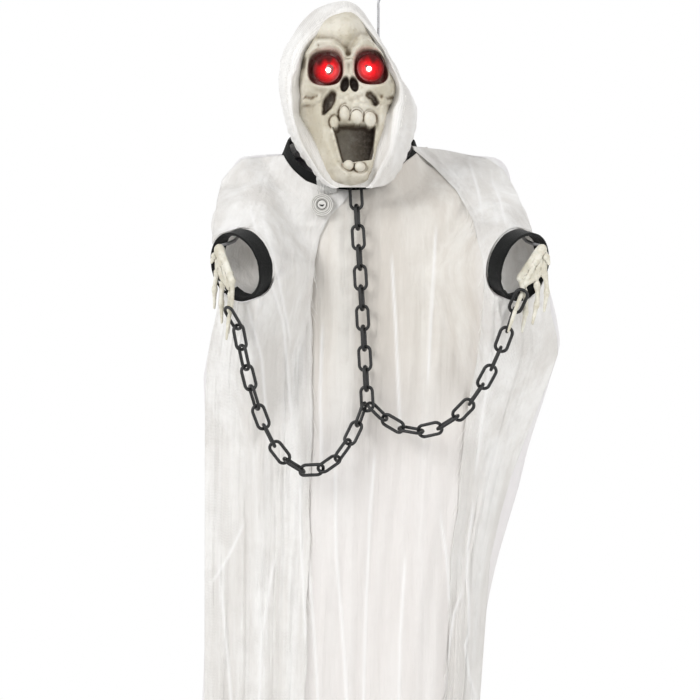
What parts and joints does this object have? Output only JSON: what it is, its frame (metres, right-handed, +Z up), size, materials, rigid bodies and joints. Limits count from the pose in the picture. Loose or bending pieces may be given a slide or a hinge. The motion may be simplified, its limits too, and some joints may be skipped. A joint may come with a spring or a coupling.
{
  "type": "hanging ghost decoration",
  "caption": "Hanging hooded skeleton ghost: lit skull in a gauze hood and robe, outstretched bone hands holding a chain that drops from the collar.",
  "frame": {"origin": "bearing point at the top inside of the hanging hook's eye", "axes": "+Z up along the hook's shank, the front of the figure faces -Y, +X to the right as seen from the front"},
  "size_m": [0.4405, 0.2518, 1.203],
  "materials": {
    "steel": "dull drawn wire",
    "bone": "moulded, aged ivory with brown shading",
    "gauze": "thin open weave, off-white",
    "lining": "thin satin, ivory",
    "felt": "black felt",
    "black_plastic": "semi-gloss black",
    "red_lens": "translucent red",
    "led": "clear lamp, lit",
    "pod_plastic": "satin white",
    "button": "satin pale grey",
    "cell": "bright cell case"
  },
  "bodies": {
    "body": {"hanging_hook": "steel", "shoulder_frame": "steel", "neck_post": "steel", "arm_rod_left": "steel", "arm_rod_right": "steel", "hood": "gauze", "robe": "gauze", "lining": "lining", "collar": "felt", "cuff_left": "felt", "cuff_right": "felt", "pod_case": "pod_plastic", "pod_cover": "pod_plastic", "pod_cells": "cell", "chain_drop_01": "black_plastic", "chain_drop_02": "black_plastic", "chain_drop_03": "black_plastic", "chain_drop_04": "black_plastic", "chain_drop_05": "black_plastic", "chain_drop_06": "black_plastic", "chain_drop_07": "black_plastic", "chain_drop_08": "black_plastic", "chain_drop_09": "black_plastic", "chain_drop_10": "black_plastic", "chain_drop_11": "black_plastic"},
    "head": {"skull_face": "bone", "skull_back": "bone", "eye_lens_left": "red_lens", "eye_lens_right": "red_lens", "eye_lamp_left": "led", "eye_lamp_right": "led"},
    "left_hand": {"hand_left": "bone", "chain_left_14": "black_plastic"},
    "right_hand": {"hand_right": "bone", "chain_right_12": "black_plastic"},
    "left_swag": {"chain_left_01": "black_plastic", "chain_left_02": "black_plastic", "chain_left_03": "black_plastic", "chain_left_04": "black_plastic", "chain_left_05": "black_plastic", "chain_left_06": "black_plastic", "chain_left_07": "black_plastic", "chain_left_08": "black_plastic", "chain_left_09": "black_plastic", "chain_left_10": "black_plastic", "chain_left_11": "black_plastic", "chain_left_12": "black_plastic", "chain_left_13": "black_plastic"},
    "right_swag": {"chain_right_01": "black_plastic", "chain_right_02": "black_plastic", "chain_right_03": "black_plastic", "chain_right_04": "black_plastic", "chain_right_05": "black_plastic", "chain_right_06": "black_plastic", "chain_right_07": "black_plastic", "chain_right_08": "black_plastic", "chain_right_09": "black_plastic", "chain_right_10": "black_plastic", "chain_right_11": "black_plastic"},
    "button": {"pod_button": "button"}
  },
  "joints": [
    {"name": "head_turn", "type": "hinge", "parent": "body", "child": "head", "pos_m": [-0.035, -0.078, -0.162], "axis": [0, 0, 1], "range_deg": [-12, 12]},
    {"name": "left_hand_turn", "type": "hinge", "parent": "body", "child": "left_hand", "pos_m": [-0.18, -0.165, -0.327], "axis": [0.2339, 0, -0.9723], "range_deg": [-10, 10]},
    {"name": "right_hand_turn", "type": "hinge", "parent": "body", "child": "right_hand", "pos_m": [0.18, -0.165, -0.327], "axis": [-0.415, 0, -0.9098], "range_deg": [-10, 10]},
    {"name": "left_swag_swing", "type": "hinge", "parent": "body", "child": "left_swag", "pos_m": [-0.1595, -0.165, -0.4122], "axis": [-0.8078, -0.3259, 0.4911], "range_deg": [-5, 12]},
    {"name": "right_swag_swing", "type": "hinge", "parent": "body", "child": "right_swag", "pos_m": [0.1498, -0.165, -0.3932], "axis": [-0.8039, 0.2798, -0.5248], "range_deg": [-5, 12]},
    {"name": "button_press", "type": "slide", "parent": "body", "child": "button", "axis": [0, 1, 0], "range_m": [0, 0.001], "stiffness_N_per_m": 600}
  ]
}
